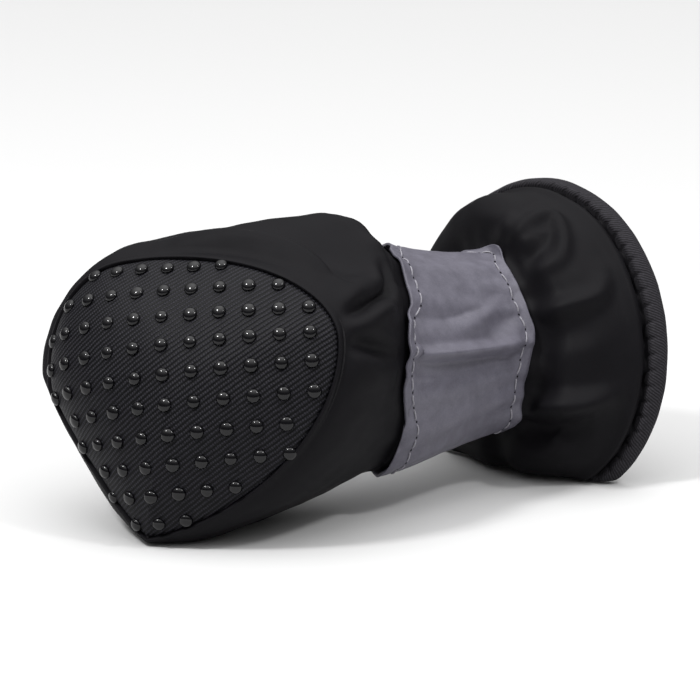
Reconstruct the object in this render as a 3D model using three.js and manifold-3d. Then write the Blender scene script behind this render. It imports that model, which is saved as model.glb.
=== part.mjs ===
// A soft dog boot lying on its side: a stretch-fabric foot with a domed, studded sole,
// a gathered ankle inside a reflective band, and a wide collar bound with folded tape.
// Millimetres, +Z up, the floor at z = 0. The boot's shaft runs along +X.
import * as THREE from 'three';
import { mergeVertices } from 'three/addons/utils/BufferGeometryUtils.js';
import Module from 'manifold-3d';

// Driving dimensions: lengths in millimetres, angles in degrees
const BOOT_HEIGHT = 64.4;
const SOLE_WIDTH = 46.6;
const ANKLE_WIDTH = 30.8;
const COLLAR_WIDTH = 56.6;
const WALL = 1.2;
const SEAM_GAP = 0.3;
const SEAM_PROUD = 0.5;
const SOLE_THICKNESS = 1.8;
const SOLE_TOE_TURN = 76;
const SOLE_HEEL_TURN = 38.3;
const STUD_PITCH = 4.93;
const STUD_RADIUS = 1.15;
const STUD_HEIGHT = 1.0;
const STUD_SIDES = 5;
const STUD_GRID_TURN = 9.8;
const STUD_EDGE_MARGIN = 1.3;
const STUD_TAPER = 0.6;
const STUD_ROOT = 0.4;
const STUD_GRID_COUNT = 11;
const STUD_GRID_CENTRE = { column: 5.59, row: 4.91 };
const BAND_THICKNESS = 0.8;
const BINDING_THICKNESS = 0.6;
const BINDING_CLEARANCE = 0.4;
const BINDING_FOLD = [0, 60, 120, 180];
const SECTION_POINTS = 48;
const STEPS_PER_SECTION = 3;
const STEPS_IN_COLLAR = 4;

// How the boot lies: heading about the vertical, then nose up, then rolled onto its side
const LIE_YAW = -45.3;
const LIE_PITCH = -18.4;
const LIE_ROLL = -114.5;

// Cross-sections from the sole's seam up to the rim of the collar. Each is a rounded outline
// across the boot, in the boot's own frame: +X is back towards the heel, -Y is its left side,
// which is uppermost as it lies, and +Z is from the sole into the boot. side is how far the
// section's middle lies to the left. tilt leans the section back, turn swings it about up, and
// toe, heel, left and right are its half sizes. Places are shares of the boot's height, and the
// half sizes are shares of the width that the row starts with. The squareness values are
// exponents: 2 is an ellipse, more is squarer and less is more pointed.
const PLACE_COLUMNS = ['back', 'side', 'up'];
const SWING_COLUMNS = ['tilt', 'turn'];
const HALF_COLUMNS = ['toe', 'heel', 'left', 'right'];
const SQUARE_COLUMNS = ['toeLeftSquare', 'toeRightSquare', 'heelSquare'];
const COLUMNS = [...PLACE_COLUMNS, ...SWING_COLUMNS, ...HALF_COLUMNS, ...SQUARE_COLUMNS];
const SECTION_TABLE = {
  seam: [SOLE_WIDTH, -0.1646, 0.0606, 0.1475, 9, 8, 0.3283, 0.8069, 0.4077, 0.5923, 2.1, 1.15, 1.85],
  lip: [SOLE_WIDTH, -0.1475, 0.1087, 0.1957, 7, 8, 0.3755, 0.8369, 0.4034, 0.6953, 1.85, 1.28, 2.15],
  ball: [SOLE_WIDTH, -0.1196, 0.0093, 0.2842, 11, 0, 0.3112, 0.6867, 0.5794, 0.5386, 2, 2.1, 2.1],
  instep: [SOLE_WIDTH, 0.0248, 0.0419, 0.4084, 24, 0, 0.4077, 0.5129, 0.5472, 0.5451, 2, 2, 2.1],
  throat: [ANKLE_WIDTH, 0.2795, 0.0745, 0.4969, 38, 0, 0.4545, 0.6331, 0.7305, 0.75, 2, 2, 2],
  band_low: [ANKLE_WIDTH, 0.3882, 0.0683, 0.5342, 43, 0, 0.2922, 0.4545, 0.5292, 0.7338, 2, 2, 2],
  band_high: [ANKLE_WIDTH, 0.6366, 0.0559, 0.8199, 41, 0, 0.3052, 0.3442, 0.4675, 0.5325, 2, 2, 2],
  flare: [COLLAR_WIDTH, 0.6879, 0.0388, 0.854, 36, 0, 0.3534, 0.3004, 0.3958, 0.3975, 2, 2, 2],
  rim: [COLLAR_WIDTH, 0.7795, 0.0435, 1, 24, 0, 0.5583, 0.4117, 0.4912, 0.5088, 2, 2, 2],
};
const SECTION_NAMES = Object.keys(SECTION_TABLE);
const SECTIONS = SECTION_NAMES.map((name) => {
  const [width, ...values] = SECTION_TABLE[name];
  const section = Object.fromEntries(COLUMNS.map((column, i) => [column, values[i]]));
  for (const column of PLACE_COLUMNS) section[column] *= BOOT_HEIGHT;
  for (const column of HALF_COLUMNS) section[column] *= width;
  return section;
});
const place = (name) => SECTION_NAMES.indexOf(name);

const DEGREE = Math.PI / 180;
const BOOT_TO_FLOOR = new THREE.Matrix4().makeRotationFromEuler(
  new THREE.Euler(LIE_ROLL * DEGREE, LIE_PITCH * DEGREE, LIE_YAW * DEGREE, 'ZYX'),
);
const SOLE_CENTRE_HEIGHT = 29.9;
const FLOOR_ROUNDING = 1.0;
const REST_OF_COLLAR = BINDING_THICKNESS + BINDING_CLEARANCE;

// Turns a point of the boot's own frame into the lying frame and lifts what would sink
// below the given level, so the soft side goes flat where it rests and rounds up beside it
function lay(point, level = -Infinity) {
  const laid = point.clone().applyMatrix4(BOOT_TO_FLOOR);
  laid.z += SOLE_CENTRE_HEIGHT;
  const sink = level + FLOOR_ROUNDING - laid.z;
  if (sink > 2 * FLOOR_ROUNDING) laid.z = level;
  else if (sink > 0) laid.z = level + (2 * FLOOR_ROUNDING - sink) ** 2 / (4 * FLOOR_ROUNDING);
  return laid;
}

// Smooth in-between of the section table at a fractional place
function sectionAt(where) {
  const last = SECTIONS.length - 1;
  const index = Math.min(Math.floor(where), last - 1);
  const t = where - index;
  const near = [-1, 0, 1, 2].map((step) => SECTIONS[Math.min(Math.max(index + step, 0), last)]);
  const section = {};
  for (const column of COLUMNS) {
    const [a, b, c, d] = near.map((row) => row[column]);
    section[column] = 0.5 * (2 * b + (c - a) * t + (2 * a - 5 * b + 4 * c - d) * t * t
      + (3 * b - a - 3 * c + d) * t ** 3);
  }
  return section;
}

const roundPower = (value, square) => Math.sign(value) * Math.abs(value) ** (2 / square);

// One point of a section's outline in the boot's own frame; angle 0 is at the toe
function outlinePoint(section, angle) {
  const forward = Math.cos(angle);
  const across = Math.sin(angle);
  const toeSquare = across > 0 ? section.toeLeftSquare : section.toeRightSquare;
  const square = forward > 0 ? toeSquare : section.heelSquare;
  const x = (forward > 0 ? section.toe : section.heel) * roundPower(forward, square);
  const y = (across > 0 ? section.left : section.right) * roundPower(across, square);
  const turn = section.turn * DEGREE;
  const tilt = section.tilt * DEGREE;
  const ahead = x * Math.cos(turn) - y * Math.sin(turn);
  return new THREE.Vector3(
    section.back - ahead * Math.cos(tilt),
    -(section.side + x * Math.sin(turn) + y * Math.cos(turn)),
    section.up + ahead * Math.sin(tilt),
  );
}

// Angles round a section, and the same count of points for every ring of every piece
const ANGLES = Array.from({ length: SECTION_POINTS }, (_, i) => (2 * Math.PI * i) / SECTION_POINTS);

// Outer skin of the upper as rings, each a list of points in the lying frame
function skinRing(where) {
  const section = sectionAt(where);
  const level = THREE.MathUtils.smoothstep(where, place('band_high'), place('flare')) * REST_OF_COLLAR;
  return ANGLES.map((angle) => lay(outlinePoint(section, angle), level));
}

// Outward direction at each point of a list of rings, from its neighbours on the skin
function outwardOf(rings) {
  return rings.map((ring, j) => ring.map((point, i) => {
    const before = ring[(i + SECTION_POINTS - 1) % SECTION_POINTS];
    const after = ring[(i + 1) % SECTION_POINTS];
    const below = rings[Math.max(j - 1, 0)][i];
    const above = rings[Math.min(j + 1, rings.length - 1)][i];
    const round = after.clone().sub(before);
    const along = above.clone().sub(below);
    return round.cross(along).normalize();
  }));
}

// Rings moved along their outward directions; a negative distance goes inward
function offsetRings(rings, outward, distance) {
  return rings.map((ring, j) => ring.map((point, i) => (
    point.clone().addScaledVector(outward[j][i], distance)
  )));
}

// Six times the volume inside a closed surface, negative if its faces point in
function enclosedVolume(points, triangles) {
  let volume = 0;
  for (let i = 0; i < triangles.length; i += 3) {
    const [a, b, c] = [0, 1, 2].map((corner) => points[triangles[i + corner]]);
    volume += a.dot(b.clone().cross(c));
  }
  return volume;
}

// One closed body from rings of points: the first and last rings are joined to each other,
// or closed by a point each where the two end points are given. Each four-sided patch is
// split along its shorter diagonal, so walls that run side by side fold the same way
function bodyFromRings(rings, startPoint, endPoint) {
  const points = rings.flat();
  const triangles = [];
  const at = (j, i) => j * SECTION_POINTS + (i % SECTION_POINTS);
  const rows = startPoint ? rings.length - 1 : rings.length;
  for (let j = 0; j < rows; j += 1) {
    const next = (j + 1) % rings.length;
    for (let i = 0; i < SECTION_POINTS; i += 1) {
      const [a, b, c, d] = [at(j, i), at(next, i), at(next, i + 1), at(j, i + 1)];
      const splitFromA = points[a].distanceTo(points[c]) < points[b].distanceTo(points[d]);
      if (splitFromA) triangles.push(a, b, c, a, c, d);
      else triangles.push(a, b, d, b, c, d);
    }
  }
  if (startPoint) {
    const start = points.push(startPoint) - 1;
    const end = points.push(endPoint) - 1;
    for (let i = 0; i < SECTION_POINTS; i += 1) {
      triangles.push(start, at(0, i), at(0, i + 1));
      triangles.push(end, at(rings.length - 1, i + 1), at(rings.length - 1, i));
    }
  }
  const geometry = new THREE.BufferGeometry();
  const numbers = points.flatMap((point) => point.toArray());
  geometry.setAttribute('position', new THREE.Float32BufferAttribute(numbers, 3));
  geometry.setIndex(enclosedVolume(points, triangles) < 0 ? triangles.reverse() : triangles);
  return geometry;
}

// Places along the section table from one named section to another
function placesBetween(from, to, steps) {
  const first = place(from);
  const count = Math.round((place(to) - first) * steps);
  return Array.from({ length: count + 1 }, (_, i) => first + i / steps);
}

// Sole: a dome whose meridians are arcs of ellipses. Its edge has turned up by the heel or toe
// angle, with a smooth change between them round the outline
const seamSection = sectionAt(place('seam'));
function domePoint(angle, reach) {
  const edge = outlinePoint(seamSection, angle);
  const toeward = (1 + Math.cos(angle)) / 2;
  const turned = THREE.MathUtils.lerp(SOLE_HEEL_TURN, SOLE_TOE_TURN, toeward ** 2);
  const curl = Math.sin(turned * DEGREE);
  const rise = (part) => 1 - Math.sqrt(1 - (curl * part) ** 2);
  return new THREE.Vector3(edge.x * reach, edge.y * reach, (edge.z * rise(reach)) / rise(1));
}

// Small share of the reach, or angle in radians, over which a direction is measured
const PROBE = 0.02;

// Inward direction of the sole's edge, shared by the sole and the wall that meets it
function edgeInward(angle) {
  const inner = domePoint(angle, 1 - PROBE);
  const outer = domePoint(angle, 1);
  const around = domePoint(angle + PROBE, 1).sub(domePoint(angle - PROBE, 1));
  const inward = outer.clone().sub(inner).cross(around).normalize();
  return inward.z < 0 ? inward.negate() : inward;
}

const SOLE_REACHES = [0.15, 0.36, 0.56, 0.73, 0.87, 0.95, 1];
function buildSoleShell() {
  const outer = SOLE_REACHES.map((reach) => ANGLES.map((angle) => domePoint(angle, reach)));
  const inner = outer.map((ring, j) => ring.map((point, i) => {
    const inward = new THREE.Vector3(0, 0, 1).lerp(edgeInward(ANGLES[i]), SOLE_REACHES[j] ** 2).normalize();
    return point.clone().addScaledVector(inward, SOLE_THICKNESS);
  }));
  const rings = [...outer, ...inner.reverse()].map((ring) => ring.map((point) => lay(point, 0)));
  return bodyFromRings(rings, lay(new THREE.Vector3(0, 0, 0)), lay(new THREE.Vector3(0, 0, SOLE_THICKNESS)));
}

// Outline angle whose edge point lies in the given direction from the dome's centre
function angleTowards(back, side) {
  const wanted = Math.atan2(side, -back);
  let low = wanted - Math.PI / 2;
  let high = wanted + Math.PI / 2;
  for (let i = 0; i < 24; i += 1) {
    const middle = (low + high) / 2;
    const edge = domePoint(middle, 1);
    const ahead = Math.sin(Math.atan2(-edge.y, -edge.x) - wanted) > 0;
    if (ahead) high = middle;
    else low = middle;
  }
  return (low + high) / 2;
}

// Walks out from the dome's centre along a meridian until the walked length is reached
function reachAt(angle, length) {
  const stride = 0.01;
  let walked = 0;
  for (let reach = stride; reach < 1; reach += stride) {
    walked += domePoint(angle, reach).distanceTo(domePoint(angle, reach - stride));
    if (walked > length) return reach;
  }
  return 1;
}

// Grip studs stand on a square grid of the flat sole sheet, turned from the boot's length,
// wherever one clears the seam
function studPlaces() {
  const turn = STUD_GRID_TURN * DEGREE;
  const places = [];
  for (let row = 0; row <= STUD_GRID_COUNT; row += 1) {
    for (let column = 0; column <= STUD_GRID_COUNT; column += 1) {
      const u = (column - STUD_GRID_CENTRE.column) * STUD_PITCH;
      const v = (row - STUD_GRID_CENTRE.row) * STUD_PITCH;
      const back = u * Math.cos(turn) - v * Math.sin(turn);
      const side = -u * Math.sin(turn) - v * Math.cos(turn);
      const angle = angleTowards(back, side);
      const reach = reachAt(angle, Math.hypot(back, side));
      const room = domePoint(angle, 1).distanceTo(domePoint(angle, reach));
      if (reach < 1 && room > STUD_EDGE_MARGIN) places.push({ angle, reach });
    }
  }
  return places;
}

function domeOutward({ angle, reach }) {
  const along = domePoint(angle, reach).sub(domePoint(angle, reach - PROBE));
  const around = domePoint(angle + PROBE, reach).sub(domePoint(angle - PROBE, reach));
  const outward = along.cross(around).normalize();
  return outward.z > 0 ? outward.negate() : outward;
}

function buildStud(spot) {
  const foot = STUD_RADIUS;
  const top = STUD_RADIUS * STUD_TAPER;
  const stud = new THREE.CylinderGeometry(top, foot, STUD_HEIGHT + STUD_ROOT, STUD_SIDES);
  stud.translate(0, (STUD_HEIGHT - STUD_ROOT) / 2, 0);
  const outward = domeOutward(spot);
  const upright = new THREE.Quaternion().setFromUnitVectors(new THREE.Vector3(0, 1, 0), outward);
  stud.applyQuaternion(upright);
  const base = domePoint(spot.angle, spot.reach);
  stud.translate(base.x, base.y, base.z);
  stud.applyMatrix4(BOOT_TO_FLOOR);
  stud.translate(0, 0, SOLE_CENTRE_HEIGHT);
  return stud;
}

// Joins closed shapes into one solid
const wasm = await Module();
wasm.setup();
function toSolid(geometry) {
  const bare = new THREE.BufferGeometry();
  bare.setAttribute('position', geometry.getAttribute('position'));
  bare.setIndex(geometry.getIndex());
  const merged = mergeVertices(bare);
  return new wasm.Manifold(new wasm.Mesh({
    numProp: 3,
    vertProperties: new Float32Array(merged.getAttribute('position').array),
    triVerts: new Uint32Array(merged.getIndex().array),
  }));
}

function fromSolid(solid) {
  const mesh = solid.getMesh();
  const geometry = new THREE.BufferGeometry();
  geometry.setAttribute('position', new THREE.Float32BufferAttribute(mesh.vertProperties, 3));
  geometry.setIndex(Array.from(mesh.triVerts));
  return geometry;
}

function buildSole() {
  let solid = toSolid(buildSoleShell());
  for (const spot of studPlaces()) solid = solid.add(toSolid(buildStud(spot)));
  return fromSolid(solid);
}

// Upper: one wall from the sole's seam to the rim, open at both ends. Its lower edge runs
// beside the sole's edge and stands a little proud of it, as the turned fabric does
function seamEdge(angle, depth) {
  const inward = edgeInward(angle);
  const outer = domePoint(angle, 1);
  const outSide = outer.clone().sub(domePoint(angle, 1 - PROBE)).normalize();
  return lay(outer.addScaledVector(outSide, SEAM_GAP).addScaledVector(inward, depth), 0);
}

const skinPlaces = [
  ...placesBetween('seam', 'flare', STEPS_PER_SECTION),
  ...placesBetween('flare', 'rim', STEPS_IN_COLLAR).slice(1),
];
const skin = skinPlaces.map((where) => skinRing(where));
const skinOutward = outwardOf(skin);

function buildUpper() {
  const outer = [...skin];
  const inner = offsetRings(skin, skinOutward, -WALL);
  outer[0] = ANGLES.map((angle) => seamEdge(angle, -SEAM_PROUD));
  inner[0] = ANGLES.map((angle) => seamEdge(angle, WALL));
  return bodyFromRings([...outer, ...inner.reverse()]);
}

// Reflective band: a flat tape sewn round the gathered ankle, just off the fabric
function buildBand() {
  const from = skinPlaces.indexOf(place('band_low'));
  const to = skinPlaces.indexOf(place('band_high'));
  const rings = skin.slice(from, to + 1);
  const outward = skinOutward.slice(from, to + 1);
  const back = offsetRings(rings, outward, SEAM_GAP);
  const face = offsetRings(rings, outward, SEAM_GAP + BAND_THICKNESS);
  return bodyFromRings([...face, ...back.reverse()]);
}

// Collar binding: tape folded over the rim, a leg on each side of the last step of the wall
function buildBinding() {
  const [leg, rim] = skin.slice(-2);
  const [legOutward, rimOutward] = skinOutward.slice(-2);
  const near = BINDING_CLEARANCE;
  const far = BINDING_CLEARANCE + BINDING_THICKNESS;
  const legRing = (distance) => leg.map((point, i) => point.clone().addScaledVector(legOutward[i], distance));
  const foldRing = (clear, fold) => rim.map((point, i) => {
    const along = point.clone().sub(leg[i]).normalize();
    const radius = WALL / 2 + clear;
    return point.clone()
      .addScaledVector(rimOutward[i], -WALL / 2 + radius * Math.cos(fold * DEGREE))
      .addScaledVector(along, radius * Math.sin(fold * DEGREE));
  });
  return bodyFromRings([
    legRing(far),
    ...BINDING_FOLD.map((fold) => foldRing(far, fold)),
    legRing(-WALL - far),
    legRing(-WALL - near),
    ...BINDING_FOLD.toReversed().map((fold) => foldRing(near, fold)),
    legRing(near),
  ]);
}

function piece(name, geometry, colour, roughness) {
  geometry.computeVertexNormals();
  const material = new THREE.MeshStandardMaterial({ color: colour, roughness, metalness: 0 });
  const mesh = new THREE.Mesh(geometry, material);
  mesh.name = name;
  return mesh;
}

const boot = new THREE.Group();
boot.add(piece('upper', buildUpper(), '#29282d', 0.75));
boot.add(piece('sole', buildSole(), '#2b2a2f', 0.6));
boot.add(piece('reflective_band', buildBand(), '#77747f', 0.5));
boot.add(piece('collar_binding', buildBinding(), '#2f2d32', 0.85));

// The origin goes under the middle of the whole boot, on the floor
const extent = new THREE.Box3().setFromObject(boot);
const middle = extent.getCenter(new THREE.Vector3());
boot.position.set(-middle.x, -middle.y, 0);

export default boot;
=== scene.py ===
"""A soft dog boot lying on its side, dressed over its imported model.

The scene is in metres. Shapes are worked out in millimetres, from the same sizes as the
model's own solids, and turned into metres as each mesh is made.
"""
import math

import bpy
import numpy as np
from mathutils import Matrix, Vector


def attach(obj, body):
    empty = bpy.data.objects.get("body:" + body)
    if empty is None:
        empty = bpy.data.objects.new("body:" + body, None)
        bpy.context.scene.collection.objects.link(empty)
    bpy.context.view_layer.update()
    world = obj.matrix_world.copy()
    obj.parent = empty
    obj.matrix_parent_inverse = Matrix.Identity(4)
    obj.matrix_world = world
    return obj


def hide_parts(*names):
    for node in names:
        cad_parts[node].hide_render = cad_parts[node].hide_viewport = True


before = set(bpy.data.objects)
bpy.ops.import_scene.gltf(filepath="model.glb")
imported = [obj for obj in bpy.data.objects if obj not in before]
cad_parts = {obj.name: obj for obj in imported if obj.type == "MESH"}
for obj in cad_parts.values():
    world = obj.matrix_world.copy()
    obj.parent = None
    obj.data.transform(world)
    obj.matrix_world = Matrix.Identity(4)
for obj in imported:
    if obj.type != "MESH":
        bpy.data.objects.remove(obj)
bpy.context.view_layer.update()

# The table and the light: a sheet of pale board in a light tent that is bright overhead and
# fades to its sides, with a small lamp at the upper left and one at the upper right. The
# camera stands low and looks along the boot's side, as in the photograph.
BOARD_SIZE = 6.0
TENT_TOP = 3.1
TENT_SIDES = 0.10
TENT_FADE = 3.0
LAMPS_AIM = (-0.01, 0.0, 0.02)
CAMERA_PLACE = (-0.3154, -0.4059, 0.1540)
CAMERA_LOOKS = (0.5948, 0.7665, -0.2419)
CAMERA_LENS = 159.4
CAMERA_SENSOR = 36.0


def srgb(text):
    """Linear colour from an sRGB hex value such as #2a292e."""
    shares = [int(text[i:i + 2], 16) / 255 for i in (1, 3, 5)]
    return tuple(s / 12.92 if s <= 0.04045 else ((s + 0.055) / 1.055) ** 2.4 for s in shares) + (1.0,)


def add_node(tree, kind, settings, inputs):
    """Adds one node to a material or world, with its settings and its values or links."""
    made = tree.nodes.new(kind)
    for name, value in settings.items():
        setattr(made, name, value)
    for name, value in inputs.items():
        if isinstance(value, bpy.types.NodeSocket):
            tree.links.new(value, made.inputs[name])
        else:
            made.inputs[name].default_value = value
    return made


def new_material(name):
    """An empty node material with its output, as (material, tree, output)."""
    material = bpy.data.materials.new(name)
    material.use_nodes = True
    tree = material.node_tree
    tree.nodes.clear()
    return material, tree, tree.nodes.new("ShaderNodeOutputMaterial")


# Uncoated pale board: quite matt, so it shows the boot's soft shadow and no reflection
board_paint, tree, output = new_material("matt_pale_board")
shader = add_node(tree, "ShaderNodeBsdfPrincipled", {}, {
    "Base Color": srgb("#cecece"), "Roughness": 0.9, "Specular IOR Level": 0.1,
})
tree.links.new(shader.outputs["BSDF"], output.inputs["Surface"])

half = BOARD_SIZE / 2
board_corners = [(-half, -half, 0), (half, -half, 0), (half, half, 0), (-half, half, 0)]
board_mesh = bpy.data.meshes.new("white_board")
board_mesh.from_pydata(board_corners, [], [(0, 1, 2, 3)])
board_mesh.materials.append(board_paint)
board = bpy.data.objects.new("white_board", board_mesh)
bpy.context.collection.objects.link(board)

tent = bpy.data.worlds.new("light_tent")
tent.use_nodes = True
tree = tent.node_tree
tree.nodes.clear()
heading = add_node(tree, "ShaderNodeTexCoord", {}, {})
upward = add_node(tree, "ShaderNodeSeparateXYZ", {}, {"Vector": heading.outputs["Generated"]})
# Below the horizon the tent is as dim as at its sides, so the height stops at 0 there
height = add_node(tree, "ShaderNodeMath", {"operation": "MULTIPLY", "use_clamp": True}, {
    0: upward.outputs["Z"], 1: 1.0,
})
fade = add_node(tree, "ShaderNodeMath", {"operation": "POWER"}, {
    0: height.outputs["Value"], 1: TENT_FADE,
})
strength = add_node(tree, "ShaderNodeMapRange", {}, {
    "Value": fade.outputs["Value"], "To Min": TENT_SIDES, "To Max": TENT_TOP,
})
glow = add_node(tree, "ShaderNodeBackground", {}, {
    "Color": (1.0, 1.0, 1.0, 1.0), "Strength": strength.outputs["Result"],
})
output = tree.nodes.new("ShaderNodeOutputWorld")
tree.links.new(glow.outputs["Background"], output.inputs["Surface"])
bpy.context.scene.world = tent


def soft_lamp(name, place, size, watts):
    """A square lamp at a place, turned to face the boot."""
    lamp = bpy.data.lights.new(name, "AREA")
    lamp.shape = "SQUARE"
    lamp.size = size
    lamp.energy = watts
    made = bpy.data.objects.new(name, lamp)
    made.location = place
    made.rotation_mode = "QUATERNION"
    made.rotation_quaternion = (Vector(LAMPS_AIM) - Vector(place)).to_track_quat("-Z", "Y")
    bpy.context.collection.objects.link(made)


soft_lamp("lamp_upper_left", (-0.42, 0.02, 0.62), size=0.10, watts=2.8)
soft_lamp("lamp_upper_right", (0.15, -0.40, 0.55), size=0.07, watts=1.1)

camera_data = bpy.data.cameras.new("photo_camera")
camera_data.sensor_width = CAMERA_SENSOR
camera_data.lens = CAMERA_LENS
camera_data.clip_start = 0.01
camera_data.clip_end = 20.0
camera = bpy.data.objects.new("photo_camera", camera_data)
camera.location = CAMERA_PLACE
camera.rotation_mode = "QUATERNION"
camera.rotation_quaternion = Vector(CAMERA_LOOKS).to_track_quat("-Z", "Y")
bpy.context.collection.objects.link(camera)
bpy.context.scene.camera = camera
bpy.context.scene.view_settings.view_transform = "Standard"

# The sole: one patch of coated twill, domed over the last it was moulded on, with its toe
# turned up. It is a thin sheet, so its back shows the same cloth inside the boot.
BOOT_HEIGHT = 64.4
SOLE_WIDTH = 46.6
ANKLE_WIDTH = 30.8
COLLAR_WIDTH = 56.6
SOLE_THICKNESS = 1.8
SOLE_TOE_TURN = 76.0
SOLE_HEEL_TURN = 38.3
FLOOR_ROUNDING = 1.0

# How the boot lies: where the middle of its sole is, and its turns about each axis in degrees
SOLE_CENTRE = (-40.28, -6.33, 29.9)
LIE_YAW, LIE_PITCH, LIE_ROLL = -45.3, -18.4, -114.5
MM = 0.001
NO_FLOOR = -1e6

# Cross-sections of the boot, from the sole's seam to the collar's rim. A row holds the width
# its half sizes are shares of; back, side and up as shares of the boot's height; tilt and
# turn in degrees; the half sizes toe, heel, left and right; and three squareness exponents.
SECTIONS = {
    "seam": (SOLE_WIDTH, -0.1646, 0.0606, 0.1475, 9, 8, 0.3283, 0.8069, 0.4077, 0.5923, 2.1, 1.15, 1.85),
    "lip": (SOLE_WIDTH, -0.1475, 0.1087, 0.1957, 7, 8, 0.3755, 0.8369, 0.4034, 0.6953, 1.85, 1.28, 2.15),
    "ball": (SOLE_WIDTH, -0.1196, 0.0093, 0.2842, 11, 0, 0.3112, 0.6867, 0.5794, 0.5386, 2, 2.1, 2.1),
    "instep": (SOLE_WIDTH, 0.0248, 0.0419, 0.4084, 24, 0, 0.4077, 0.5129, 0.5472, 0.5451, 2, 2, 2.1),
    "throat": (ANKLE_WIDTH, 0.2795, 0.0745, 0.4969, 38, 0, 0.4545, 0.6331, 0.7305, 0.75, 2, 2, 2),
    "band_low": (ANKLE_WIDTH, 0.3882, 0.0683, 0.5342, 43, 0, 0.2922, 0.4545, 0.5292, 0.7338, 2, 2, 2),
    "band_high": (ANKLE_WIDTH, 0.6366, 0.0559, 0.8199, 41, 0, 0.3052, 0.3442, 0.4675, 0.5325, 2, 2, 2),
    "flare": (COLLAR_WIDTH, 0.6879, 0.0388, 0.854, 36, 0, 0.3534, 0.3004, 0.3958, 0.3975, 2, 2, 2),
    "rim": (COLLAR_WIDTH, 0.7795, 0.0435, 1, 24, 0, 0.5583, 0.4117, 0.4912, 0.5088, 2, 2, 2),
}
SECTION_NAMES = list(SECTIONS)
SECTION_ROWS = np.array([
    [v * BOOT_HEIGHT for v in row[1:4]] + list(row[4:6]) + [v * row[0] for v in row[6:10]] + list(row[10:])
    for row in SECTIONS.values()
])
LAST_PLACE = len(SECTION_ROWS) - 1
LIE = np.array(
    Matrix.Rotation(math.radians(LIE_YAW), 3, "Z")
    @ Matrix.Rotation(math.radians(LIE_PITCH), 3, "Y")
    @ Matrix.Rotation(math.radians(LIE_ROLL), 3, "X")
)


def lay(points, level=NO_FLOOR):
    """Boot-frame points turned as the boot lies; what would sink below the level goes flat."""
    laid = points @ LIE.T + np.array(SOLE_CENTRE)
    return rest_on(laid, level)


def rest_on(points, level):
    """Points lifted softly to a level, so that cloth goes flat on the floor."""
    rested = points.copy()
    sink = level + FLOOR_ROUNDING - points[..., 2]
    eased = level + (2 * FLOOR_ROUNDING - sink) ** 2 / (4 * FLOOR_ROUNDING)
    flat = np.where(sink > 2 * FLOOR_ROUNDING, level, eased)
    rested[..., 2] = np.where(sink > 0, flat, points[..., 2])
    return rested


def between(a, b, c, d, t):
    """Smooth in-between of b and c at the share t, with a before them and d after."""
    square = 2 * a - 5 * b + 4 * c - d
    cube = 3 * b - a - 3 * c + d
    return 0.5 * (2 * b + (c - a) * t + square * t ** 2 + cube * t ** 3)


def section_at(places):
    """Rows of section values at fractional places, one for each place."""
    index = np.minimum(np.floor(places).astype(int), LAST_PLACE - 1)
    t = (places - index)[..., None]
    a, b, c, d = (SECTION_ROWS[np.clip(index + step, 0, LAST_PLACE)] for step in (-1, 0, 1, 2))
    return between(a, b, c, d, t)


def outline(places, angles):
    """Points on the sections' outlines in the boot's frame; angle 0 is at the toe."""
    row = np.moveaxis(section_at(places), -1, 0)
    back, side, up, tilt, turn, toe, heel, left, right, toe_left, toe_right, heel_square = row
    forward, across = np.cos(angles), np.sin(angles)
    square = np.where(forward > 0, np.where(across > 0, toe_left, toe_right), heel_square)
    x = np.where(forward > 0, toe, heel) * np.sign(forward) * np.abs(forward) ** (2 / square)
    y = np.where(across > 0, left, right) * np.sign(across) * np.abs(across) ** (2 / square)
    turn, tilt = np.radians(turn), np.radians(tilt)
    ahead = x * np.cos(turn) - y * np.sin(turn)
    sideways = side + x * np.sin(turn) + y * np.cos(turn)
    return np.stack([back - ahead * np.cos(tilt), -sideways, up + ahead * np.sin(tilt)], -1)


def dome(angles, reaches):
    """Points on the sole's dome in the boot's frame, reach 1 being its edge."""
    edge = outline(np.zeros_like(angles), angles)
    toeward = (1 + np.cos(angles)) / 2
    curl = np.sin(np.radians(SOLE_HEEL_TURN + (SOLE_TOE_TURN - SOLE_HEEL_TURN) * toeward ** 2))
    rise = (1 - np.sqrt(1 - (curl * reaches) ** 2)) / (1 - np.sqrt(1 - curl ** 2))
    return np.stack([edge[..., 0] * reaches, edge[..., 1] * reaches, edge[..., 2] * rise], -1)


def outward_of(grid):
    """Outward direction at each point of a grid of rings."""
    around = np.roll(grid, -1, 1) - np.roll(grid, 1, 1)
    outward = np.cross(around, np.gradient(grid, axis=0))
    return outward / np.maximum(np.linalg.norm(outward, axis=-1, keepdims=True), 1e-9)


def sample(grid, rows, columns):
    """Values of a grid at fractional rows, and at fractional columns that go round."""
    low_row = np.clip(np.floor(rows).astype(int), 0, len(grid) - 2)
    low_column = np.floor(columns).astype(int)
    count = grid.shape[1]
    r, c = (rows - low_row)[..., None], (columns - low_column)[..., None]
    near, far = low_column % count, (low_column + 1) % count
    lower = grid[low_row, near] * (1 - c) + grid[low_row, far] * c
    upper = grid[low_row + 1, near] * (1 - c) + grid[low_row + 1, far] * c
    return lower * (1 - r) + upper * r


def unevenness(points, size, seed):
    """A soft wandering value about 0, with waves of about that size in millimetres."""
    draws = np.random.default_rng(seed)
    total = np.zeros(points.shape[:-1])
    for _ in range(6):
        heading = draws.normal(size=3)
        heading *= 2 * math.pi / (size * draws.uniform(0.7, 1.5)) / np.linalg.norm(heading)
        total += np.sin(points @ heading + draws.uniform(0, 2 * math.pi))
    return total / 6


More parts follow.
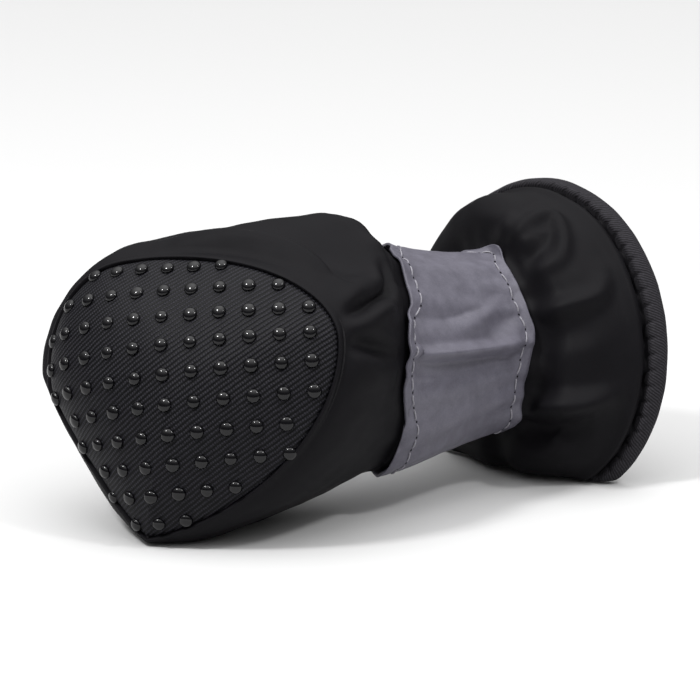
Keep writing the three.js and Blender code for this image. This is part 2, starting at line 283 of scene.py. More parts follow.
def ring_mesh(name, rings, material, start=None, end=None, looped=False, pattern=None, inner_from=None):
    """A piece from a grid of rings in millimetres. Its ends are closed by a point each, or
    joined to each other. pattern holds cloth coordinates in millimetres, with one more column
    than the rings, and faces from the row inner_from on take the second material."""
    rows, columns = rings.shape[:2]
    points = rings.reshape(-1, 3)
    spans = rows if looped else rows - 1
    j, i = np.meshgrid(np.arange(spans), np.arange(columns), indexing="ij")
    k, n = (j + 1) % rows, (i + 1) % columns
    quads = np.stack([j * columns + i, j * columns + n, k * columns + n, k * columns + i], -1).reshape(-1, 4)
    faces = quads.tolist()
    inside = (j >= inner_from).reshape(-1).tolist() if inner_from is not None else None
    if start is not None:
        points = np.vstack([points, start, end])
        first, last = len(points) - 2, len(points) - 1
        top = (rows - 1) * columns
        faces += [[first, (c + 1) % columns, c] for c in range(columns)]
        faces += [[last, top + c, top + (c + 1) % columns] for c in range(columns)]
    mesh = bpy.data.meshes.new(name)
    mesh.from_pydata((points * MM).tolist(), [], faces)
    for finish in material if isinstance(material, (list, tuple)) else [material]:
        mesh.materials.append(finish)
    if inside:
        for face, is_inside in zip(mesh.polygons, inside):
            face.material_index = 1 if is_inside else 0
    if pattern is not None:
        corners = np.stack([pattern[j, i], pattern[j, i + 1], pattern[k, i + 1], pattern[k, i]], -2)
        corners = corners.reshape(-1, 2)
        cloth = mesh.attributes.new("cloth", "FLOAT_VECTOR", "CORNER")
        flat = np.zeros((len(mesh.loops), 3))
        flat[:len(corners), :2] = corners
        cloth.data.foreach_set("vector", flat.ravel())
    mesh.shade_smooth()
    mesh.update()
    piece = bpy.data.objects.new(name, mesh)
    bpy.context.collection.objects.link(piece)
    return piece


# Coated polyester twill: close diagonal ribs under a thin matt coat, so the ribs show as fine
# lines and the coat gives a dull, slightly bluish sheen. The ribs are 0.75 mm apart, and each
# is a row of yarn floats 0.45 mm long.
TWILL_RIB = 0.75
TWILL_FLOAT = 0.45
TWILL_TURN = 69.8

# A wave texture has a rib every 0.314 units at scale 1
WAVE_PITCH = 0.314
coated_twill, tree, output = new_material("coated_twill")
cloth = add_node(tree, "ShaderNodeAttribute", {"attribute_name": "sheet_place"}, {})
turned = add_node(tree, "ShaderNodeMapping", {}, {
    "Vector": cloth.outputs["Vector"], "Rotation": (0.0, 0.0, math.radians(TWILL_TURN)),
})
ribs = add_node(tree, "ShaderNodeTexWave", {"wave_type": "BANDS", "bands_direction": "X"}, {
    "Vector": turned.outputs["Vector"], "Scale": WAVE_PITCH / TWILL_RIB, "Distortion": 0.9,
    "Detail": 1.0, "Detail Scale": 1.2,
})
threads = add_node(tree, "ShaderNodeTexWave", {"wave_type": "BANDS", "bands_direction": "Y"}, {
    "Vector": turned.outputs["Vector"], "Scale": WAVE_PITCH / TWILL_FLOAT, "Distortion": 0.6,
})
speckle = add_node(tree, "ShaderNodeTexNoise", {}, {
    "Vector": cloth.outputs["Vector"], "Scale": 2.6, "Detail": 3.0, "Roughness": 0.65,
})
float_share = add_node(tree, "ShaderNodeMapRange", {}, {
    "Value": threads.outputs["Fac"], "To Min": 0.45, "To Max": 1.0,
})
floats = add_node(tree, "ShaderNodeMath", {"operation": "MULTIPLY"}, {
    0: ribs.outputs["Fac"], 1: float_share.outputs["Result"],
})
tone = add_node(tree, "ShaderNodeMath", {"operation": "MULTIPLY"}, {
    0: floats.outputs["Value"], 1: speckle.outputs["Fac"],
})
spread = add_node(tree, "ShaderNodeMapRange", {}, {
    "Value": tone.outputs["Value"], "From Min": 0.08, "From Max": 0.5,
})
colour = add_node(tree, "ShaderNodeMix", {"data_type": "RGBA"}, {
    0: spread.outputs["Result"], 6: srgb("#060608"), 7: srgb("#2a292f"),
})
bump = add_node(tree, "ShaderNodeBump", {}, {
    "Height": tone.outputs["Value"], "Distance": 0.00022, "Strength": 0.8,
})
shader = add_node(tree, "ShaderNodeBsdfPrincipled", {}, {
    "Base Color": colour.outputs[2], "Roughness": 0.5, "IOR": 1.5, "Specular IOR Level": 0.12,
    "Normal": bump.outputs["Normal"],
})
tree.links.new(shader.outputs["BSDF"], output.inputs["Surface"])

SOLE_COLUMNS = 256
SOLE_ROWS = 72
SOLE_BACK_ROWS = 12
SOLE_EDGE_FROM = 0.955
SOLE_EDGE_WIDTH = 0.045
SOLE_EDGE_TUCK = 0.5
SOLE_WAVE = 11.0
SOLE_WAVE_HEIGHT = 0.18
RIDGE_BLUR = 16.0
sole_angles = np.linspace(0, 2 * math.pi, SOLE_COLUMNS, endpoint=False)
sole_reaches = np.linspace(0.02, 1.0, SOLE_ROWS)
sole_dome = dome(sole_angles[None, :], sole_reaches[:, None])

# The patch has a corner at the toe, but cloth takes no sharp ridge from its middle to it,
# so the heights are evened round the dome, less and less towards the edge
waves = np.fft.rfftfreq(SOLE_COLUMNS, 1 / SOLE_COLUMNS)
blur = np.radians(RIDGE_BLUR) * (1 - sole_reaches ** 3)
soften = np.exp(-0.5 * (waves[None, :] * blur[:, None]) ** 2)
evened = np.fft.rfft(sole_dome[..., 2], axis=1) * soften
sole_dome[..., 2] = np.fft.irfft(evened, SOLE_COLUMNS, axis=1)

# Where each point lies on the flat sheet, from the walks out over the dome to it
sole_steps = np.diff(sole_dome, axis=0, prepend=np.zeros((1, SOLE_COLUMNS, 3)))
sole_walk = np.linalg.norm(sole_steps, axis=-1).cumsum(0)
sole_heading = np.unwrap(np.arctan2(-sole_dome[-1, :, 1], -sole_dome[-1, :, 0]))
sole_sheet_x = -sole_walk * np.cos(sole_heading)
sole_sheet_y = sole_walk * np.sin(sole_heading)

sole_face = lay(sole_dome, 0)
sole_out = -outward_of(sole_face)
if (sole_out[SOLE_ROWS // 2] @ LIE[:, 2]).mean() > 0:
    sole_out = -sole_out
edge_dip = np.clip((sole_reaches - SOLE_EDGE_FROM) / SOLE_EDGE_WIDTH, 0, 1) ** 2 * SOLE_EDGE_TUCK
sole_face -= sole_out * edge_dip[:, None, None]
sole_face += sole_out * (unevenness(sole_face, SOLE_WAVE, 5) * SOLE_WAVE_HEIGHT)[..., None]
back_rows = np.linspace(SOLE_ROWS - 1, 0, SOLE_BACK_ROWS).astype(int)
sole_back = sole_face[back_rows] - sole_out[back_rows] * SOLE_THICKNESS
sole_rings = rest_on(np.concatenate([sole_face, sole_back]), 0)
sole_sheet = ring_mesh("sole_sheet", sole_rings, coated_twill,
                       start=sole_rings[0].mean(0), end=sole_rings[-1].mean(0))
rows_of_sheet = np.concatenate([np.arange(SOLE_ROWS), back_rows])
sheet_place = np.zeros((len(sole_sheet.data.vertices), 3))
sheet_place[:-2, 0] = sole_sheet_x[rows_of_sheet].ravel()
sheet_place[:-2, 1] = sole_sheet_y[rows_of_sheet].ravel()
sheet_attribute = sole_sheet.data.attributes.new("sheet_place", "FLOAT_VECTOR", "POINT")
sheet_attribute.data.foreach_set("vector", sheet_place.ravel())
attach(sole_sheet, "root")
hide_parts("sole")

# The grip studs: drops of soft rubber printed on the twill in a square grid and cured. They
# are round and glossy, and each came out a little different.
STUD_PITCH = 4.93
STUD_RADIUS = 1.18
STUD_HEIGHT = 0.85
STUD_GRID_TURN = 9.8
STUD_GRID_CENTRE = (5.59, 4.91)
STUD_GRID_COUNT = 12
STUD_FAN = 0.026
STUD_FAN_FROM = 0.5
STUD_EDGE_MARGIN = 0.35
STUD_SIDES = 20
STUD_RINGS = 7
STUD_ROOT = 0.25
STUD_SHOULDER = 0.85

# Cured silicone rubber: smooth and glossy, with a small bright spot of the lamp on each drop
printed_rubber, tree, output = new_material("printed_rubber")
where = add_node(tree, "ShaderNodeTexCoord", {}, {})
mottle = add_node(tree, "ShaderNodeTexNoise", {}, {
    "Vector": where.outputs["Object"], "Scale": 900.0, "Detail": 2.0,
})
colour = add_node(tree, "ShaderNodeMix", {"data_type": "RGBA"}, {
    0: mottle.outputs["Fac"], 6: srgb("#060608"), 7: srgb("#0d0c0f"),
})
rough = add_node(tree, "ShaderNodeMapRange", {}, {
    "Value": mottle.outputs["Fac"], "To Min": 0.05, "To Max": 0.11,
})
bump = add_node(tree, "ShaderNodeBump", {}, {
    "Height": mottle.outputs["Fac"], "Distance": 0.00003, "Strength": 0.4,
})
shader = add_node(tree, "ShaderNodeBsdfPrincipled", {}, {
    "Base Color": colour.outputs[2], "Roughness": rough.outputs["Result"], "IOR": 1.5,
    "Specular IOR Level": 0.34, "Normal": bump.outputs["Normal"],
})
tree.links.new(shader.outputs["BSDF"], output.inputs["Surface"])

stud_draws = np.random.default_rng(21)
grid_turn = math.radians(STUD_GRID_TURN)
all_headings = np.append(sole_heading, sole_heading[0] + 2 * math.pi)
stud_points, stud_faces = [], []
for row in range(STUD_GRID_COUNT):
    for column in range(STUD_GRID_COUNT):
        u = (column - STUD_GRID_CENTRE[0]) * STUD_PITCH
        v = (row - STUD_GRID_CENTRE[1]) * STUD_PITCH
        # Above the middle row the rows fan out a little
        v += STUD_FAN * u * max(0, STUD_GRID_CENTRE[1] - STUD_FAN_FROM - row)
        back = u * math.cos(grid_turn) - v * math.sin(grid_turn)
        side = -u * math.sin(grid_turn) - v * math.cos(grid_turn)
        wanted = math.atan2(side, -back)
        turns = (wanted - sole_heading[0]) / (2 * math.pi)
        wanted -= 2 * math.pi * math.floor(turns)
        column_at = np.interp(wanted, all_headings, np.arange(SOLE_COLUMNS + 1))
        walks = sample(sole_walk[..., None], np.arange(SOLE_ROWS), np.full(SOLE_ROWS, column_at))[:, 0]
        far = math.hypot(back, side)
        if far > walks[-1] - STUD_EDGE_MARGIN:
            continue
        row_at = np.interp(far, walks, np.arange(SOLE_ROWS))
        foot = sample(sole_face, np.array([row_at]), np.array([column_at]))[0]
        out = sample(sole_out, np.array([row_at]), np.array([column_at]))[0]
        out /= np.linalg.norm(out)
        first = np.cross(out, LIE[:, 0])
        first /= np.linalg.norm(first)
        second = np.cross(out, first)
        radius = STUD_RADIUS * stud_draws.uniform(0.94, 1.06)
        height = STUD_HEIGHT * stud_draws.uniform(0.88, 1.08)
        base = len(stud_points)
        stud_points.append(foot + out * height)
        around = np.linspace(0, 2 * math.pi, STUD_SIDES, endpoint=False)
        for ring in range(1, STUD_RINGS + 1):
            lean = ring / STUD_RINGS * math.pi / 2
            high = height * math.cos(lean) ** STUD_SHOULDER if ring < STUD_RINGS else -STUD_ROOT
            wide = radius * math.sin(lean)
            middle = foot + out * high
            stud_points.extend(middle + wide * (np.cos(a) * first + np.sin(a) * second) for a in around)
        for i in range(STUD_SIDES):
            n = (i + 1) % STUD_SIDES
            stud_faces.append((base, base + 1 + i, base + 1 + n))
            for ring in range(STUD_RINGS - 1):
                a = base + 1 + ring * STUD_SIDES
                b = a + STUD_SIDES
                stud_faces.append((a + i, b + i, b + n, a + n))
        last = base + 1 + (STUD_RINGS - 1) * STUD_SIDES
        stud_faces.append(tuple(last + i for i in reversed(range(STUD_SIDES))))
stud_mesh = bpy.data.meshes.new("sole_studs")
stud_mesh.from_pydata([tuple(p * MM) for p in stud_points], [], stud_faces)
stud_mesh.materials.append(printed_rubber)
stud_mesh.shade_smooth()
sole_studs = bpy.data.objects.new("sole_studs", stud_mesh)
bpy.context.collection.objects.link(sole_studs)
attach(sole_studs, "root")

# The upper: soft-shell stretch cloth sewn into a tube. It is turned over the sole's edge and
# stitched from inside, drawn in at the ankle, and opens into the wide collar.
WALL = 1.2
REST_OF_COLLAR = 1.0
UPPER_COLUMNS = 288
UPPER_STEPS = (12, 20, 24, 26, 14, 30, 14, 26)
LINING_ROWS = 70
LIP_ROWS = 20
LIP_TOP = 0.3
LIP_TUCK = 0.2
LIP_PROUD = 0.3
LIP_ROUND = 0.3
SEAM_PLACE = 7.785
SEAM_PUFF = 0.6
SEAM_GROOVE = 1.5
PUCKER_DEPTH = 0.2
DEGREE = math.pi / 180
PLACE = {name: i for i, name in enumerate(SECTION_NAMES)}

# The side of the foot spans straight from the lip to the throat, with a slight crown. It sets
# in and fades out round the boot at an angle, over so many degrees.
SPAN_FROM = 0.3
SPAN_TO = 4.3
SPAN_CROWN = 2.2
SPAN_SETS_IN = (146, 24)
SPAN_FADES_OUT = (250, 36)


def ease(t):
    """0 to 1 along a smooth step."""
    t = np.clip(t, 0, 1)
    return t * t * (3 - 2 * t)


def skin(places, angles):
    """Points on the upper's outer skin as it lies, before its folds."""
    level = ease((places - PLACE["band_high"]) / (PLACE["flare"] - PLACE["band_high"])) * REST_OF_COLLAR
    points = outline(places, angles)
    degrees = np.mod(angles / DEGREE, 360)
    (sets_in, over), (fades_out, off) = SPAN_SETS_IN, SPAN_FADES_OUT
    share = ease((degrees - sets_in) / over) * (1 - ease((degrees - fades_out) / off))
    start = outline(np.full_like(places, SPAN_FROM), angles)
    chord = outline(np.full_like(places, SPAN_TO), angles) - start
    t = np.clip((places - SPAN_FROM) / (SPAN_TO - SPAN_FROM), 0, 1)
    straight = start + chord * t[..., None]
    away = straight - section_at(places)[..., :3] * (1, -1, 1)
    away /= np.linalg.norm(away, axis=-1, keepdims=True)
    span = straight + away * (SPAN_CROWN * np.sin(math.pi * t ** 0.7))[..., None]
    inside = ((places > SPAN_FROM) & (places < SPAN_TO)) * share
    points += inside[..., None] * (span - points)
    return lay(points, level)


def along_path(points, path):
    """Distance of each point from a path, and how far along it the nearest point is."""
    legs = np.linalg.norm(np.diff(path, axis=0), axis=1)
    starts = np.concatenate([[0], legs.cumsum()])
    nearest = np.full(points.shape[:-1], 1e9)
    share = np.zeros(points.shape[:-1])
    for k in range(len(legs)):
        leg = path[k + 1] - path[k]
        t = np.clip((points - path[k]) @ leg / legs[k] ** 2, 0, 1)
        away = np.linalg.norm(points - path[k] - t[..., None] * leg, axis=-1)
        closer = away < nearest
        nearest = np.where(closer, away, nearest)
        share = np.where(closer, (starts[k] + t * legs[k]) / starts[-1], share)
    return nearest, share


def smooth_path(corners, steps=8):
    """Skin points along a smooth line through corners given as (place, degrees)."""
    corners = np.array(corners, float)
    t = np.linspace(0, len(corners) - 1, (len(corners) - 1) * steps + 1)
    k = np.minimum(t.astype(int), len(corners) - 2)
    f = (t - k)[:, None]
    a, b, c, d = (corners[np.clip(k + s, 0, len(corners) - 1)] for s in (-1, 0, 1, 2))
    line = between(a, b, c, d, f)
    return skin(np.clip(line[:, 0], 0, LAST_PLACE), line[:, 1] * DEGREE)


def folded(points, folds):
    """Height of the listed soft troughs and ridges at each point, in millimetres."""
    height = np.zeros(points.shape[:-1])
    for depth, width, corners in folds:
        away, share = along_path(points, smooth_path(corners))
        q = (away / width) ** 2
        along = np.sin(math.pi * np.clip(share, 0.03, 0.97)) ** 0.7
        height += depth * along * (1 - 0.45 * q) * np.exp(-0.5 * q)
    return height


# Each fold: its depth (ridges are positive) and half width in millimetres, then the corners
# of its line as places along the boot and degrees round it
UPPER_FOLDS = [
    (1.5, 1.7, [(1.0, 98), (1.1, 110), (1.15, 122), (1.2, 134), (1.15, 146), (1.0, 156)]),
    (-2.1, 1.7, [(1.9, 98), (1.95, 110), (2.0, 122), (1.95, 136), (1.7, 148), (1.4, 156)]),
    (-1.2, 1.2, [(0.35, 98), (0.4, 122), (0.4, 140), (0.35, 152)]),
    (-1.9, 1.25, [(0.0, 173), (0.73, 171), (2.2, 171), (3.5, 170.5), (3.78, 169), (3.98, 163), (4.15, 153)]),
    (0.9, 2.2, [(0.4, 164), (2.2, 163), (3.5, 163), (3.85, 158)]),
    (0.8, 2.2, [(0.47, 178), (2.0, 179), (3.2, 180), (3.9, 182)]),
    (-1.8, 1.4, [(0.08, 184.5), (0.75, 185.5), (1.86, 191), (2.97, 196), (3.5, 199)]),
    (0.7, 2.4, [(0.4, 193), (1.2, 197), (2.2, 202), (3.4, 205)]),
    (1.5, 3.2, [(4.3, 108), (4.5, 120), (4.7, 134), (4.75, 150), (4.7, 168)]),
    (-1.0, 5.0, [(5.0, 104), (5.5, 110), (6.3, 116)]),
    (2.2, 3.6, [(7.4, 45), (7.3, 65), (7.25, 85), (7.25, 105), (7.3, 124)]),
    (0.9, 1.6, [(6.35, 118), (6.7, 121), (7.15, 124)]),
    (-1.5, 1.9, [(6.45, 146), (6.75, 148), (7.05, 146), (7.15, 140)]),
    (1.2, 1.3, [(6.45, 128), (6.8, 131), (7.34, 133), (7.3, 147), (7.1, 158), (6.77, 158)]),
    (1.4, 1.7, [(6.3, 186), (6.52, 182), (7.07, 180), (7.36, 177), (7.5, 168)]),
    (-0.9, 2.4, [(6.2, 198), (6.8, 193), (7.3, 189)]),
    (2.4, 2.0, [(5.9, 256), (6.07, 252), (6.43, 240), (6.83, 229), (7.21, 223), (7.5, 218)]),
    (-2.2, 3.0, [(6.1, 266), (6.6, 252), (7.0, 243), (7.4, 237)]),
    (-0.8, 2.6, [(6.3, 300), (7.0, 296), (7.5, 292)]),
    (0.8, 2.6, [(6.3, 330), (7.0, 334), (7.5, 338)]),
    (-0.9, 2.6, [(6.2, 20), (6.9, 24), (7.5, 28)]),
    (0.8, 2.6, [(6.2, 60), (6.9, 56), (7.5, 52)]),
    (-1.0, 2.4, [(3.2, 20), (4.0, 22), (4.9, 24)]),
    (-0.9, 2.2, [(3.4, 50), (4.2, 48), (4.9, 46)]),
    (-1.0, 2.4, [(3.3, 300), (4.1, 304), (4.9, 306)]),
    (-0.9, 2.2, [(3.4, 335), (4.2, 338), (4.9, 340)]),
    (-0.9, 2.2, [(3.4, 80), (4.2, 82), (4.9, 84)]),
]

upper_places = np.concatenate([
    np.linspace(k, k + 1, steps, endpoint=False) for k, steps in enumerate(UPPER_STEPS)
] + [[LAST_PLACE]])
# The rings are closer along the binding's seam. Below its top the lip has rings of its own.
seam_places = np.linspace(SEAM_PLACE - 0.12, SEAM_PLACE + 0.08, 21)
upper_places = np.union1d(upper_places[upper_places > LIP_TOP], seam_places)
upper_angles = np.linspace(0, 2 * math.pi, UPPER_COLUMNS, endpoint=False)
bare_skin = skin(upper_places[:, None] + 0 * upper_angles, upper_angles[None, :] + 0 * upper_places[:, None])
bare_out = outward_of(bare_skin)

# Gathers: the ankle is drawn in under the band, so short puckers run out of both its edges
puckers = np.zeros(bare_skin.shape[:2])
gathers = ((PLACE["band_low"], 1.1, 17, 0.4), (PLACE["band_high"], 0.5, 19, 1.9))
for edge, reach, count, phase in gathers:
    near = np.exp(-((upper_places - edge) / reach) ** 2)[:, None]
    wander = 0.9 * np.sin(3 * upper_angles + phase) + 0.6 * np.sin(5 * upper_angles + 2 * phase)
    puckers += PUCKER_DEPTH * near * np.sin(count * upper_angles + wander)[None, :]
shape = folded(bare_skin, UPPER_FOLDS) + puckers + 0.3 * unevenness(bare_skin, 16.0, 3)
shape += 0.10 * unevenness(bare_skin, 5.0, 4)
# All of it fades out at the lip and at the rim, where another piece lies against the cloth
quiet = np.clip((upper_places - 0.2) / 0.5, 0, 1) * np.clip((LAST_PLACE - upper_places) / 0.4, 0, 1)
# Along the binding's seam the cloth puffs up, and its stitches draw it down unevenly
draw = 0.8 + 0.3 * np.sin(23 * upper_angles + 2 * np.sin(3 * upper_angles))
draw += 0.25 * np.sin(41 * upper_angles + 1.0)
seam_puff = SEAM_PUFF * np.exp(-((upper_places - SEAM_PLACE + 0.11) / 0.06) ** 2)[:, None]
seam_groove = SEAM_GROOVE * np.exp(-((upper_places - SEAM_PLACE) / 0.03) ** 2)[:, None] * draw[None, :]
upper_skin = bare_skin + bare_out * (shape * quiet[:, None] + seam_puff - seam_groove)[..., None]

# The turned lip: control rings from the sole's edge, up and over a soft roll, onto the skin
seam_edge = dome(upper_angles, np.ones(UPPER_COLUMNS))
seam_inner = dome(upper_angles, np.full(UPPER_COLUMNS, 0.98))
seam_side = seam_edge - seam_inner
seam_side /= np.linalg.norm(seam_side, axis=-1, keepdims=True)
seam_round = np.roll(seam_edge, -1, 0) - np.roll(seam_edge, 1, 0)
seam_down = np.cross(seam_side, seam_round)
seam_down /= np.linalg.norm(seam_down, axis=-1, keepdims=True)
seam_down *= np.where(seam_down[:, 2:] > 0, -1, 1)
controls = [
    lay(seam_edge - LIP_TUCK * seam_side - 0.9 * seam_down, 0),
    lay(seam_edge - LIP_TUCK * seam_side + 0.3 * seam_down, 0),
    lay(seam_edge + LIP_PROUD * seam_down, 0),
    lay(seam_edge + LIP_ROUND * seam_side + LIP_PROUD * seam_down, 0),
    2 * upper_skin[0] - upper_skin[1],
    upper_skin[0],
    upper_skin[1],
]
controls = np.array([controls[0]] + controls)
lip = []
for t in np.linspace(0, len(controls) - 3 - 1e-6, LIP_ROWS)[:-1]:
    k = int(t)
    f = t - k
    weights = (
        (1 - f) ** 3 / 6,
        (3 * f ** 3 - 6 * f ** 2 + 4) / 6,
        (-3 * f ** 3 + 3 * f ** 2 + 3 * f + 1) / 6,
        f ** 3 / 6,
    )
    lip.append(sum(w * controls[min(k + m, len(controls) - 1)] for m, w in enumerate(weights)))
upper_front = np.concatenate([np.array(lip), upper_skin])
upper_out = outward_of(upper_front)
lining_rows = np.linspace(len(upper_front) - 1, 0, LINING_ROWS).astype(int)
lining = upper_front[lining_rows] - upper_out[lining_rows] * WALL
upper_rings = np.concatenate([upper_front, lining])
upper_rings = rest_on(upper_rings, 0.0)

# Brushed polyester soft-shell: close and smooth, with a soft satin shine where it turns to
# the light and a faint bluish black. Its knit, 0.3 mm, only just breaks up the shine.
softshell, tree, output = new_material("brushed_softshell")
where = add_node(tree, "ShaderNodeTexCoord", {}, {})
knit = add_node(tree, "ShaderNodeTexNoise", {}, {
    "Vector": where.outputs["Object"], "Scale": 3300.0, "Detail": 2.0,
})
cloud = add_node(tree, "ShaderNodeTexNoise", {}, {
    "Vector": where.outputs["Object"], "Scale": 130.0, "Detail": 4.0, "Roughness": 0.55,
})
colour = add_node(tree, "ShaderNodeMix", {"data_type": "RGBA"}, {
    0: cloud.outputs["Fac"], 6: srgb("#0b0a0d"), 7: srgb("#131215"),
})
rough = add_node(tree, "ShaderNodeMapRange", {}, {
    "Value": cloud.outputs["Fac"], "To Min": 0.5, "To Max": 0.66,
})
bump = add_node(tree, "ShaderNodeBump", {}, {
    "Height": knit.outputs["Fac"], "Distance": 0.00004, "Strength": 0.5,
})
shader = add_node(tree, "ShaderNodeBsdfPrincipled", {}, {
    "Base Color": colour.outputs[2], "Roughness": rough.outputs["Result"], "IOR": 1.45,
    "Specular IOR Level": 0.1, "Normal": bump.outputs["Normal"],
})
tree.links.new(shader.outputs["BSDF"], output.inputs["Surface"])

# Knitted polyester lining: loops of 0.7 mm, matt and a little hairy, so it has no shine at all
knit_lining, tree, output = new_material("knitted_lining")
where = add_node(tree, "ShaderNodeTexCoord", {}, {})
loops = add_node(tree, "ShaderNodeTexVoronoi", {}, {
    "Vector": where.outputs["Object"], "Scale": 1400.0,
})
colour = add_node(tree, "ShaderNodeMix", {"data_type": "RGBA"}, {
    0: loops.outputs["Distance"], 6: srgb("#1b1a1d"), 7: srgb("#0e0d0f"),
})
bump = add_node(tree, "ShaderNodeBump", {"invert": True}, {
    "Height": loops.outputs["Distance"], "Distance": 0.00012, "Strength": 0.7,
})
shader = add_node(tree, "ShaderNodeBsdfPrincipled", {}, {
    "Base Color": colour.outputs[2], "Roughness": 0.95, "IOR": 1.45, "Specular IOR Level": 0.2,
    "Sheen Weight": 0.08, "Sheen Roughness": 0.6, "Normal": bump.outputs["Normal"],
})
tree.links.new(shader.outputs["BSDF"], output.inputs["Surface"])

upper_shell = ring_mesh("upper_shell", upper_rings, [softshell, knit_lining], looped=True,
                        inner_from=len(upper_front) - 1)
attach(upper_shell, "root")
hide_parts("upper")

# The reflective band: 25 mm tape of glass beads on cloth, sewn flat round the drawn-in ankle
# near both its edges. Its margins stand off the cloth and wave with the gathers.
TAPE_THICKNESS = 0.45
TAPE_COLUMNS = 360
TAPE_ROWS = 44
TAPE_OFF = 0.35
STITCH_MARGIN = 2.3
SEAM_DIP = 0.22
SEAM_DIP_WIDTH = 0.5
TAPE_EDGE_BLUR = 2.0
TAPE_EDGE_STEPS = 720

# Where the tape's two edges lie: degrees round the boot, and place along it
TAPE_LOW_EDGE = [
    (0, 5.1), (60, 5.25), (100, 5.25), (114, 5.2), (122, 5.17), (131, 5.07), (153, 4.97), (167, 4.94),
    (180, 4.88), (185, 4.45), (191, 3.97), (198, 3.74), (215, 3.82), (227, 4.2), (240, 4.42),
    (256, 4.5), (275, 4.6), (330, 4.85),
]
TAPE_HIGH_EDGE = [
    (0, 6.0), (60, 6.0), (104, 6.02), (111, 6.1), (117, 6.3), (122, 6.42), (128, 6.4), (133, 6.24),
    (139, 6.14), (152, 6.13), (170, 6.12), (181, 6.14), (189, 6.22), (196, 6.16), (213, 6.0),
    (226, 5.97), (243, 5.98), (258, 6.05), (300, 6.0), (330, 5.98),
]

# Its folds are written as the upper's are. The narrow ridge near 200 degrees and the narrow
# trough near 205 make the step that runs across the tape below its middle.
TAPE_FOLDS = [
    (1.4, 4.6, [(3.8, 195), (4.6, 198), (5.2, 199), (5.8, 198), (6.3, 195)]),
    (1.6, 1.0, [(3.6, 198), (4.3, 199), (5.0, 200), (5.5, 200), (6.0, 198)]),
    (-0.8, 1.6, [(5.5, 196), (5.7, 188), (5.9, 180)]),
    (0.6, 1.6, [(5.3, 190), (5.6, 182), (5.85, 172)]),
    (0.7, 1.5, [(5.75, 224), (5.72, 212), (5.78, 200), (5.95, 192)]),
    (0.5, 2.0, [(5.1, 150), (5.6, 146), (6.1, 146)]),
    (-0.5, 2.0, [(5.2, 184), (5.4, 176), (5.6, 168)]),
    (-1.9, 1.0, [(3.6, 203), (4.3, 204.5), (5.0, 205.5), (5.5, 206), (6.0, 204)]),
    (-2.0, 5.0, [(4.0, 226), (5.0, 226), (6.0, 224)]),
]


def round_table(corners, angles):
    """Values at angles from corners of (degrees, value) all round the boot, smoothly."""
    at = np.array([c[0] for c in corners]) * DEGREE
    values = np.array([c[1] for c in corners])
    fine = np.linspace(0, 2 * math.pi, TAPE_EDGE_STEPS, endpoint=False)
    rough_line = np.interp(fine, at, values, period=2 * math.pi)
    turns = np.fft.rfftfreq(TAPE_EDGE_STEPS, 1 / TAPE_EDGE_STEPS)
    soften = np.exp(-0.5 * (turns * TAPE_EDGE_BLUR * DEGREE) ** 2)
    smooth_line = np.fft.irfft(np.fft.rfft(rough_line) * soften, TAPE_EDGE_STEPS)
    return np.interp(angles, fine, smooth_line, period=2 * math.pi)


tape_angles = np.linspace(0, 2 * math.pi, TAPE_COLUMNS, endpoint=False)
tape_low = round_table(TAPE_LOW_EDGE, tape_angles)
tape_high = round_table(TAPE_HIGH_EDGE, tape_angles)
across = np.linspace(0, 1, TAPE_ROWS)[:, None]
tape_places = tape_low * (1 - across) + tape_high * across
tape_round = np.broadcast_to(tape_angles, tape_places.shape)
tape_bare = skin(tape_places, tape_round)
tape_out = outward_of(tape_bare)
skin_rows = np.interp(tape_places, upper_places, np.arange(len(upper_places)))
skin_columns = tape_round / (2 * math.pi) * UPPER_COLUMNS
over_skin = np.einsum("ijk,ijk->ij", sample(upper_skin, skin_rows, skin_columns) - tape_bare, tape_out)
widths = np.linalg.norm(np.diff(tape_bare, axis=0), axis=-1).cumsum(0)
from_low = np.vstack([np.zeros(TAPE_COLUMNS), widths])
from_high = from_low[-1] - from_low
margin_low = np.clip(1 - from_low / STITCH_MARGIN, 0, 1)
margin_high = np.clip(1 - from_high / STITCH_MARGIN, 0, 1)
dip_low = np.exp(-((from_low - STITCH_MARGIN) / SEAM_DIP_WIDTH) ** 2)
dip_high = np.exp(-((from_high - STITCH_MARGIN) / SEAM_DIP_WIDTH) ** 2)
flutter = 0.5 + 0.5 * np.sin(9 * tape_angles + 1.1 * np.sin(4 * tape_angles))
stand_off = (0.1 + 0.3 * flutter) * (margin_low + margin_high) ** 1.3
tape_shape = folded(tape_bare, TAPE_FOLDS)
tape_shape += 0.2 * unevenness(tape_bare, 9.0, 8)
tape_shape += 0.1 * unevenness(tape_bare, 4.0, 9)
tape_shape -= SEAM_DIP * (dip_low + dip_high)
tape_shape += stand_off

# On the side towards the heel its upper margin is pressed back along the stitches
tape_degrees = tape_angles / DEGREE
turned_back = ease((tape_degrees - 197) / 8) * (1 - ease((tape_degrees - 238) / 18))
tape_shape -= turned_back * (1.9 * margin_high + 0.5 * dip_high)
# Where the cloth under it stands up, the tape is carried by it
tape_shape = np.maximum(tape_shape, over_skin + 0.15)
tape_back = tape_bare + tape_out * (tape_shape + TAPE_OFF)[..., None]
tape_front = tape_back + tape_out * TAPE_THICKNESS
